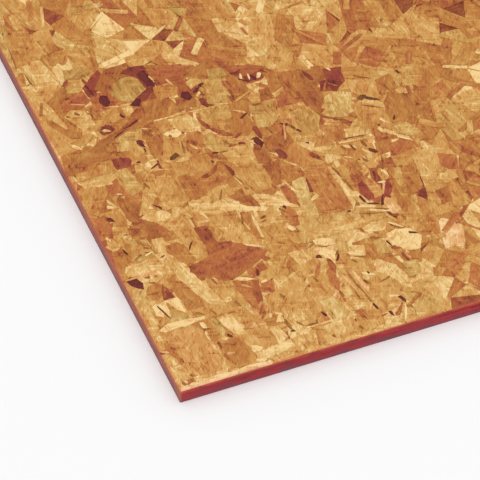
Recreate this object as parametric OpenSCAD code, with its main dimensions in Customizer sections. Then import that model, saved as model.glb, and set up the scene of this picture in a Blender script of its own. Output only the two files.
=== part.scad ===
// Oriented strand board sheet, square edged, with a sealed edge.
// One pressed board: long side along Y, short side along X, thickness along Z.
// The origin is the middle of the underside.

/* [Sheet] */
// Short side of the sheet, along X (4 ft)
sheet_width = 1219.2; // [300:0.1:1250]
// Long side of the sheet, along Y (8 ft)
sheet_length = 2438.4; // [300:0.1:3700]
// Pressed thickness of the board (7/16 in)
sheet_thickness = 11.1; // [6:0.1:32]

/* [Edges] */
// Wear taken off each long arris, where a face meets a sawn edge
arris_wear = 0.4; // [0.1:0.1:1.5]
// Wear taken off each of the four upright corners
corner_wear = 0.8; // [0.1:0.1:5]

/* [Hidden] */

half_width = sheet_width / 2;
half_length = sheet_length / 2;

// Outline of a slab of half width h and height t, with each corner cut back by c.
function worn_section(h, t, c) = [
    [-h + c, 0], [h - c, 0], [h, c], [h, t - c],
    [h - c, t], [-h + c, t], [-h, t - c], [-h, c]
];

// Plan of a rectangle of half sides w and l, with each corner cut back by c.
function worn_plan(w, l, c) = [
    [-w + c, -l], [w - c, -l], [w, -l + c], [w, l - c],
    [w - c, l], [-w + c, l], [-w, l - c], [-w, -l + c]
];

// Section across the sheet, run along Y.
module section_across() {
    translate([0, half_length, 0])
        rotate([90, 0, 0])
            linear_extrude(height = sheet_length)
                polygon(worn_section(half_width, sheet_thickness, arris_wear));
}

// Section along the sheet, run along X.
module section_along() {
    translate([-half_width, 0, 0])
        rotate([90, 0, 90])
            linear_extrude(height = sheet_width)
                polygon(worn_section(half_length, sheet_thickness, arris_wear));
}

// Plan of the sheet, run through its thickness.
module plan_through() {
    linear_extrude(height = sheet_thickness)
        polygon(worn_plan(half_width, half_length, corner_wear));
}

// The board is what the three outlines share.
module osb_sheet() {
    color("peru")
        intersection() {
            section_across();
            section_along();
            plan_through();
        }
}

osb_sheet();
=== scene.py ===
"""Oriented strand board sheet: pressed strand faces, sealed sawn edges, floor, lights and camera.

The sheet is built in blocks, each a closed shell. A block's two faces are a mosaic of wood strands,
split where one strand lies over another, with every strand at its own depth below the face.
The sheet's shape is worked out in millimetres, and materials, lights and camera are in metres.
"""

import math
import random
from collections import defaultdict, namedtuple

import bmesh
import bpy
import numpy as np
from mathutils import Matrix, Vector, noise
from mathutils.geometry import delaunay_2d_cdt


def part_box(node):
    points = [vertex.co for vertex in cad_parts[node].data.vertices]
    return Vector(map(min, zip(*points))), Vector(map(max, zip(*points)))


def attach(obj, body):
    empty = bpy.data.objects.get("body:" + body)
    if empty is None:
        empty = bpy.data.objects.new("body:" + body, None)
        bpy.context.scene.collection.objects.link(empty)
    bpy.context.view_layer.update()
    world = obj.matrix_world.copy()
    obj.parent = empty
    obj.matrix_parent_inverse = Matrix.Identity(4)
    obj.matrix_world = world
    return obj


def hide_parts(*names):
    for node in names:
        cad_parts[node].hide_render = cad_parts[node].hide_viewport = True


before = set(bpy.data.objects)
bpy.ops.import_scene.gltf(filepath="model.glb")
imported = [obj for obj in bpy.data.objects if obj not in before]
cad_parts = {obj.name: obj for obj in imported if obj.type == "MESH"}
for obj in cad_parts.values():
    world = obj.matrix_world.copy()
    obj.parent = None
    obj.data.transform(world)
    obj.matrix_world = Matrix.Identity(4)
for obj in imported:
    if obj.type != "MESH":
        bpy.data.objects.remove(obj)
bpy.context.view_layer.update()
SHEET_LOW, SHEET_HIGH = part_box("osb_sheet")

MM = 0.001
HALF_WIDTH, HALF_LENGTH, THICKNESS = (v / MM for v in SHEET_HIGH)

# --- Sheet layout ---------------------------------------------------------------------------------
BLOCKS_ACROSS, BLOCKS_ALONG = 4, 4
ARRIS_INSET = 0.3  # the faces end this far inside the sawn edges
ARRIS_DROP = 0.7  # the sawn edges end this far below the faces
CORNER_CUT = 0.6  # wear on the four upright corners
MAT_DEPTH = 0.9  # strands of the core, seen where no surface strand covers them
BORDER_DEPTH = 0.55  # no face strand lies deeper than this at a sawn edge
EDGE_COLUMN = 3.0  # spacing of the sawn edge's columns
EDGE_LAMINATIONS = 9  # strand layers that show on a sawn edge
EDGE_ROWS = 2 * EDGE_LAMINATIONS  # a strand layer and a glue line in turn
EDGE_INSET, EDGE_WANDER = 0.07, 0.06  # of the strand ends from the sheet's side
GLUE_INSET = 0.06  # how much deeper the glue lines lie
GAP_DEPTH = 0.75  # how much deeper they lie where they are open
LAYER_WAVE = 0.45  # how far the layers rise and fall
SNAP = 0.002  # points this near a block's border are put on it
STRAIGHT = 0.02  # a point this near the line through its neighbours is left out
SAME_CORNER = 1e-5  # corners of outlines this near each other are one point
SAME_RIM_POINT = 1e-6  # and so are points of the rims that show

# --- Strands --------------------------------------------------------------------------------------
STRAND_SEED = 11
# Wood tones: place on the colour ramp from darkest 0 to palest 1, and hue from red -1 to olive 1.
TONES = {
    "umber": (0.06, 0.0),
    "umbermaroon": (0.03, -1.0),
    "umberolive": (0.10, 0.8),
    "umbertan": (0.28, 0.6),
    "maroon": (0.13, -0.6),
    "redrust": (0.18, -1.0),
    "russet": (0.24, -0.3),
    "brick": (0.30, -0.5),
    "brown": (0.31, 0.1),
    "rosyamber": (0.34, -0.5),
    "orange": (0.45, -0.2),
    "amber": (0.40, 0.1),
    "ginger": (0.57, -0.25),
    "tan": (0.54, 0.1),
    "olive": (0.58, 1.0),
    "olivehoney": (0.62, 0.6),
    "honey": (0.66, 0.1),
    "paleolive": (0.70, 0.9),
    "rosy": (0.76, -0.7),
    "straw": (0.82, 0.2),
    "pink": (0.98, -0.6),
    "cream": (0.97, 0.0),
    "bright": (1.15, 0.0),
}
# How often each tone turns up among the strands that are strewn at random.
TONE_SHARES = {
    "maroon": 0.5,
    "russet": 4,
    "rosyamber": 9,
    "amber": 24,
    "tan": 26,
    "olive": 3,
    "olivehoney": 9,
    "honey": 15,
    "rosy": 1,
    "straw": 8,
    "cream": 3,
}
MAIN_TURN = math.radians(90)  # the strands of a face lie mostly along the sheet
TURN_SPREAD = math.radians(38)
SLIM_WIDTH = 9  # a narrower strewn strand has straight sides and a single point at each end
LONGEST_TEAR = 3.5  # how far a strewn strand's torn end may reach
END_SLOPE = 0.1  # how much higher or lower a strewn strand's end may lie than its middle, doubled
TONE_SPREAD = 0.07  # how far a strewn strand's tone may be from its named one
PAINTED_FALLOFF_SHADE = 0.0007  # the listed strands' tones sink by this share in each millimetre from the edge: painted shade, standing in for light that falls off away from it
HAND_DEPTHS = (0.32, 0.04)  # the first and the last listed strand
HOLE_DEPTH = 0.35  # how much deeper the umber ones lie, which are gaps between strands
FLAKE_STEP, FLAKE_FRAY = 4.0, 0.5  # spacing of the points along a listed strand's rim, and their wander
SLIVER_FRAY = 0.15

# Layers of a face from the deepest to the topmost: pitch along and across, length, width and depth.
# The underside has fewer and bigger strands.
Layer = namedtuple("Layer", "along across length width depth")
TOP_LAYERS = (
    Layer(38, 14, (38, 80), (12, 26), (0.40, 0.55)),
    Layer(36, 16, (20, 58), (7, 18), (0.20, 0.38)),
    Layer(24, 14, (7, 26), (1.6, 5.5), (0.05, 0.20)),
)
UNDER_LAYERS = (
    Layer(54, 19, (55, 105), (16, 32), (0.30, 0.50)),
    Layer(56, 24, (30, 80), (8, 22), (0.05, 0.25)),
)

Strand = namedtuple("Strand", "outline low high middle turn tone seed depth tip")

# Flakes listed one by one near one corner of the upper face: tone, grain direction in degrees from the
# short edge, and corners in millimetres from the sheet's corner. Later ones lie on top.
FLAKES = """
pink 3 1,0 32,0 38,4 20,5 2,4
pink 2 34,0 70,0 64,4 48,5 38,4
honey 4 64,0 100,0 98,7 80,9 66,6
honey 3 96,0 135,0 130,8 104,10
honey 2 128,0 166,0 164,6 140,6
honey 88 0,36 5,38 7,50 8,74 6,84 0,84
honey 90 0,8 12,8 12,22 4,34 0,34
ginger 84 6,17 15,10 31,7 36,14 35,40 29,50 9,50 6,43 10,33
ginger 84 13,9 32,8 35,22 33,33 18,33 12,22
amber 78 33,34 38,32 41,38 40,50 36,58 32,56
tan 92 36,6 60,6 62,20 58,30 38,32
straw 8 56,5 76,8 76,15 58,14
amber 92 37,28 40,31 50,31 54,24 54,14 50,8 43,7 39,12 37,20
olive 70 40,50 44,51 47,38 44,33 41,38
honey 96 52,50 58,50 61,36 60,20 56,16 53,30
tan 88 59,46 71,45 73,32 71,15 64,13 60,22
straw 70 45,50 52,51 56,46 59,36 60,29 55,30 50,34 47,42
cream 70 46,48 52,49 56,43 57,36 52,36 48,40
tan 60 30,52 66,52 68,62 64,76 34,76 28,64
ginger 70 50,84 58,80 62,64 56,60 52,72
tan 66 44,56 66,54 67,72 50,78 40,70
amber 70 30,62 42,62 42,88 34,90 29,80
straw 84 7,60 14,75 20,76 19,66 18,58 10,56
olive 40 18,56 19,66 24,64 30,59 31,55 22,55
tan 50 9,56 9,69 17,66 17,58
cream 70 19,76 29,76 29,68 28,61 24,66
maroon 80 19,76 27,76 24,86 20,85
cream 80 10,74 13,76 15,69 14,63 10,66
cream 2 6,53 14,57 28,56 39,54 38,52 24,51 9,51
olivehoney 50 4,76 16,82 18,92 8,94 0,90 0,78
amber 60 8,82 14,91 22,94 24,84 16,78
tan 40 19,98 27,98 35,92 33,84 26,84 22,90
amber 88 27,92 36,96 39,84 42,66 33,64 28,76
straw 106 34,106 43,101 46,86 52,72 55,58 46,62 38,80 34,92
straw 10 3,103 7,112 20,114 32,111 32,102 12,101
straw 20 10,91 10,101 22,102 30,98 20,92
straw 88 28,112 31,128 39,127 38,116 39,104 33,100 28,104
tan 88 0,100 0,114 5,113 5,102
umbermaroon 70 3,100 6,103 9,100 12,95 11,90 7,92 4,96
rosy 12 2,101 12,103 30,102 21,99
cream 168 20,108 28,107 31,104 22,103
amber 80 1,112 2,127 10,128 13,120 10,112
tan 50 12,112 16,127 28,126 28,113
olive 20 14,112 16,119 27,120 29,115 20,112
amber 94 37,119 45,120 50,113 51,100 46,97 40,106 36,113
honey 70 50,110 57,114 62,110 60,103 55,100 51,104
honey 92 46,136 60,138 61,112 54,116 46,122
amber 80 38,122 38,131 46,130 48,122
amber 60 19,133 21,142 31,143 38,142 40,131 36,127 30,131
brown 96 30,128 31,143 36,146 40,136 39,127
honey 80 2,130 4,142 12,147 20,142 17,132 10,128
tan 88 62,112 62,142 72,140 90,128 90,112 72,108
russet 92 60,126 69,126 69,112 70,104 61,103
honey 60 70,106 72,124 90,128 91,112 84,104
brick 8 43,93 48,98 55,98 62,104 70,109 77,107 86,101 97,91 88,85 80,80 73,79 67,76 58,79 55,84 47,88
rosyamber 96 66,75 76,77 79,70 76,60 76,50 71,46 68,56
russet 96 74,50 74,60 78,71 82,70 81,62 78,52
rosyamber 60 80,59 82,69 90,67 90,57
ginger 70 70,46 77,53 81,44 79,39 74,37 69,36
tan 70 80,75 90,82 97,84 102,74 94,68 84,68
rosyamber 60 76,72 78,80 86,81 85,74
russet 60 82,74 84,81 91,85 91,77
tan 60 80,40 80,56 96,60 108,50 104,40 92,36
honey 40 95,56 97,67 108,66 110,54 104,51
honey 70 88,54 92,70 100,68 100,58
honey 80 84,30 88,42 98,42 99,30 92,22
tan 86 98,30 99,44 106,50 114,44 113,30
straw 86 73,28 79,30 82,18 76,15
paleolive 86 112,18 112,38 122,39 125,20
tan 86 110,40 112,60 124,62 126,44 120,38
honey 80 82,4 84,18 100,18 99,4
straw 20 82,16 84,26 98,26 99,17
honey 86 101,5 99,17 104,18 105,6
honey 84 106,18 126,20 128,8 108,8
honey 80 126,22 128,38 136,40 140,24
amber 88 102,66 104,76 109,82 111,76 108,68
tan 92 110,62 112,74 124,76 126,62
straw 90 108,84 118,84 121,74 112,72
tan 96 98,88 98,112 118,110 120,90
amber 92 90,113 92,128 98,126 100,112 99,100 95,101 91,107
honey 84 84,108 90,112 98,100 96,95 84,102
olivehoney 70 120,88 122,104 140,106 178,103 181,90 160,87
honey 2 126,90 126,98 150,98 178,92 160,88
honey 80 125,104 127,118 132,118 132,104
paleolive 84 131,104 131,124 133,138 135,146 142,146 142,128 140,112 138,104
orange 92 142,132 145,147 159,147 161,130 162,112 161,104 150,106 143,109 141,118 146,122
straw 92 159,145 163,142 166,124 166,108 162,104 161,126
amber 90 168,133 168,147 180,147 180,133
tan 92 164,140 170,142 173,130 170,117 166,118
tan 60 160,78 162,90 180,88 186,78 174,72
straw 20 160,86 168,89 178,85 174,80 164,80
cream 30 173,76 180,78 190,75 194,66 189,56 183,57 176,62
cream 20 167,66 169,74 178,72 177,65
amber 100 172,64 178,62 180,54 180,46 176,48 174,56
amber 80 180,46 182,58 189,56 186,46
amber 96 152,60 153,76 161,76 166,62 174,48 174,40 166,48 160,58
olive 90 162,62 163,74 170,72 170,60
straw 40 150,53 161,57 169,50 172,40 178,32 171,28 164,36 158,46
olive 96 172,34 174,50 184,48 182,38
honey 80 136,16 138,28 150,28 150,16
tan 70 142,26 144,44 160,46 166,34 160,24
honey 80 150,16 152,28 160,28 161,16
tan 86 126,2 128,20 148,20 150,8
straw 90 143,3 146,14 152,14 155,4
tan 80 140,46 144,62 156,64 156,50
straw 40 146,77 148,87 158,87 162,77
straw 30 143,64 147,76 156,72 154,64
rosy 60 123,76 128,82 138,80 136,72
tan 96 132,36 133,64 136,72 143,71 146,50 143,30 136,30
honey 92 130,48 132,64 138,62 138,48
rosyamber 94 124,52 125,60 129,64 130,52 128,40 126,42
straw 90 127,35 128,44 134,44 134,36
russet 94 129,71 132,70 133,62 131,56 128,62
cream 172 127,88 132,89 141,84 139,80 133,81 127,84
cream 160 126,78 131,79 137,75 134,73 127,75
straw 160 64,148 72,151 82,147 104,133 105,130 84,131 72,135 64,141
cream 158 76,140 92,137 106,130 112,125 108,123 100,127 84,132
tan 60 76,132 78,122 90,120 91,131
straw 158 104,138 110,140 120,132 130,121 129,118 119,124 106,129
cream 158 112,134 118,132 124,126 128,120 118,124 110,129
brown 96 91,146 104,147 105,137 107,128 99,131 94,137
amber 92 106,140 108,150 122,150 124,136 118,134
rosyamber 92 124,138 129,140 132,130 131,120 125,124
orange 96 117,118 124,121 127,112 123,107 118,110
rosyamber 92 170,132 178,134 179,120 180,107 174,106 170,114
russet 94 173,130 177,131 177,118 173,118
brick 100 176,103 178,113 184,113 184,103
redrust 96 172,123 176,124 178,114 178,107 173,107 171,114
ginger 100 178,107 178,124 182,124 187,116 184,108
russet 90 182,124 184,132 188,132 188,118 185,116
redrust 90 183,100 184,110 187,112 188,104
redrust 108 187,105 190,108 195,120 190,119 186,110
tan 60 184,80 186,91 198,93 200,80
rosy 92 180,100 185,106 188,103 191,92 184,90
amber 96 190,90 191,106 195,130 199,128 197,100 194,87
olivehoney 96 198,104 196,120 204,132 208,118 204,103
russet 96 203,103 205,118 210,114 206,100
tan 30 200,137 218,139 217,126 202,126
amber 96 199,100 203,127 214,126 211,104
honey 84 212,104 214,134 230,136 228,106
tan 80 206,78 212,105 232,108 236,80
brown 100 216,98 226,100 224,86 217,86
straw 70 222,110 232,112 236,104 226,102
honey 20 190,142 197,143 200,138 196,135 191,137
straw 60 180,138 184,144 191,145 190,139
rosyamber 80 190,130 192,136 201,136 200,128
tan 96 50,150 52,168 64,172 66,152 62,146
honey 96 48,147 49,176 62,178 65,150
honey 60 31,149 37,160 41,170 51,172 47,160 38,149
straw 60 30,147 36,150 47,149 51,143 45,139 36,142
brown 92 22,167 29,167 36,161 34,155 31,150 28,144 23,147 22,158
rosyamber 88 20,182 30,182 30,172 21,171
amber 60 8,160 10,172 20,176 21,160
rosyamber 60 0,138 1,156 10,158 11,146 8,138
tan 88 11,140 14,158 20,166 22,150 20,141
tan 60 0,160 2,184 18,184 19,176 10,164
straw 168 4,190 10,190 25,185 25,181 16,182 6,186
amber 80 34,185 36,195 48,195 47,184
olivehoney 88 29,191 38,191 41,182 42,170 33,167 29,180
honey 70 42,184 44,191 51,190 50,184
honey 92 44,166 46,184 56,184 63,180 64,168
amber 30 51,182 60,181 63,177 54,176
tan 88 60,150 60,188 72,188 74,172 68,160 66,150
amber 86 66,172 76,171 77,150 70,148 66,154
amber 20 76,152 77,170 90,172 99,170 99,150
tan 80 78,142 80,154 94,154 96,144
tan 88 101,140 102,166 120,168 122,150 120,140
honey 0 101,180 103,183 119,182 122,173 119,168 111,165 105,166 102,171
brown 60 119,162 121,176 128,178 128,161
brown 96 121,161 128,161 129,148 127,141 123,141
brown 40 128,170 130,182 146,184 148,172 136,166
maroon 60 133,170 137,170 140,163 138,160 134,161
amber 88 130,140 131,160 140,160 146,148 142,142
orange 70 138,150 140,172 152,168 156,152 148,148
olivehoney 80 93,200 101,199 109,188 106,181 98,180 93,188
honey 80 76,184 78,200 84,204 92,184
orange 70 80,190 83,200 87,208 93,205 95,198 93,191 88,185 82,185
bright 6 71,209 76,212 83,209 83,205 79,204 73,206
tan 84 60,186 60,206 72,208 74,196 70,188
tan 70 5,191 6,200 30,204 40,202 30,191
amber 30 0,198 2,216 24,218 30,206 20,198
tan 100 43,206 51,207 50,192 42,192
honey 100 50,208 54,204 54,196 51,191 45,192 48,200
amber 20 24,202 26,212 40,216 48,206 44,200
redrust 4 32,201 38,201 43,199 44,195 41,191 32,192
maroon 84 32,201 35,201 35,192 32,192
olivehoney 60 38,206 42,221 56,222 57,212 48,204
amber 92 58,192 58,212 68,216 70,206 64,192
tan 30 64,210 66,224 92,222 90,212
brown 30 58,212 60,220 68,222 70,214
amber 20 70,223 72,231 92,230 92,223
straw 84 79,220 92,220 98,208 92,204 84,206 80,212
olivehoney 84 98,206 100,220 118,218 118,206
amber 70 112,190 114,206 128,208 130,194 122,188
amber 70 118,206 120,218 134,218 136,206
amber 80 127,185 130,202 139,202 139,190 134,183
olivehoney 80 130,192 132,212 146,212 148,196 140,190
tan 88 98,208 112,208 112,198 104,199
umbermaroon 96 122,178 124,184 128,183 129,178 126,175
honey 84 146,194 150,210 162,212 168,196 158,190
rosyamber 90 149,203 151,212 165,214 166,202
brown 100 160,217 165,228 177,226 181,208 179,200 173,188 168,192 166,203
olivehoney 82 150,172 154,194 168,196 172,186 164,172
paleolive 82 174,184 177,190 180,201 190,203 198,198 195,188 189,179 182,181
honey 60 198,198 199,208 209,206 214,199 219,190 211,186 204,191
straw 6 199,188 204,190 214,182 214,178 200,178
tan 60 197,172 213,172 213,158 204,160 197,164
tan 70 194,172 194,188 201,188 212,178 212,168
orange 80 167,178 179,177 184,172 180,167 170,168
orange 84 167,170 172,172 177,165 173,161
brown 90 174,170 180,171 179,163 175,161
straw 150 149,170 156,169 166,159 163,154 155,160
tan 60 158,162 162,172 170,168 172,160
straw 70 180,160 182,170 192,168 194,160
amber 70 196,148 198,164 208,162 212,150
russet 60 201,154 206,154 205,150 201,149
amber 70 194,140 195,151 207,151 206,141
rosyamber 40 201,136 204,148 220,148 222,138
olivehoney 140 210,156 214,162 224,158 228,150 220,148
amber 80 212,164 214,182 220,188 232,184 238,178 233,164 222,161
amber 60 215,188 216,202 228,204 232,190
olivehoney 60 228,192 228,206 244,204 240,192
tan 84 170,140 172,158 194,158 194,146
straw 88 160,146 162,158 167,158 168,146
amber 30 34,222 33,250 58,250 66,240 66,222 58,219
tan 88 38,228 40,242 51,244 52,232
tan 40 12,224 26,228 46,243 48,238 30,222 18,219
straw 100 17,247 23,251 31,247 32,240 28,232 24,232 20,240
rosyamber 20 18,251 20,262 36,264 38,254 30,250
olivehoney 30 26,264 28,272 36,272 37,264
rosyamber 70 36,244 40,258 44,258 52,258 56,246 44,242
olive 20 29,276 31,285 42,283 50,278 40,273
tan 84 4,298 6,328 22,330 24,300
honey 96 20,300 22,322 36,326 34,304
redrust 80 37,266 44,272 52,277 55,270 50,262 46,262 43,256 38,257
umbermaroon 96 43,250 45,256 50,254 49,247 47,244 44,246
straw 40 50,260 52,266 60,264 58,258
brown 60 44,262 56,276 72,276 72,264 57,260 52,255
olive 92 52,253 57,262 66,265 74,262 75,252 70,246 62,242 56,247
straw 60 54,233 55,243 62,242 60,233
maroon 96 64,269 72,272 81,270 83,262 82,250 78,246 75,252 74,260 71,263
umbermaroon 98 74,264 80,266 82,256 81,250 77,250
maroon 0 33,226 36,230 41,230 44,225 39,222 34,223
maroon 28 65,244 78,252 82,250 80,247 73,242 67,239
umbermaroon 28 60,240 66,245 69,243 66,237
brown 20 20,213 30,219 46,223 60,233 66,235 64,228 52,221 38,215 28,208
amber 60 66,224 68,240 86,240 90,226 80,222
brown 50 88,224 90,236 103,236 101,224
tan 80 78,238 80,250 92,250 96,238
brown 160 82,270 112,258 113,251 95,250 82,254
brick 160 84,257 100,255 100,250 86,251
rosyamber 150 88,266 104,262 106,254 92,254
brick 160 84,264 91,262 90,256 84,258
amber 30 104,246 106,256 120,258 124,250 116,243
russet 60 92,236 96,248 103,248 108,238 103,234
straw 10 101,246 106,248 114,243 113,240 107,241 102,239
umbermaroon 60 93,235 96,239 100,238 101,232 98,230
maroon 100 104,229 107,230 110,222 107,220 104,224
russet 96 123,220 123,236 127,236 126,220
olivehoney 96 108,222 110,240 124,242 125,224 114,220
olive 70 116,242 118,251 129,249 128,241
amber 80 126,222 128,242 136,238 138,224
brick 160 129,250 146,245 153,240 152,232 148,229 137,230 132,240
maroon 20 137,236 151,238 150,231 139,231
amber 80 150,216 151,236 158,234 160,220
brown 80 141,212 143,222 150,222 150,212
amber 80 158,210 159,232 172,230 172,212
brown 90 182,213 182,228 190,226 189,213
redrust 100 187,214 188,224 200,221 198,208 191,204 188,207
maroon 60 180,206 183,215 189,214 196,208 190,202
brown 90 172,216 174,229 182,226 184,214
tan 160 198,210 200,220 222,212 220,206
"""
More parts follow.
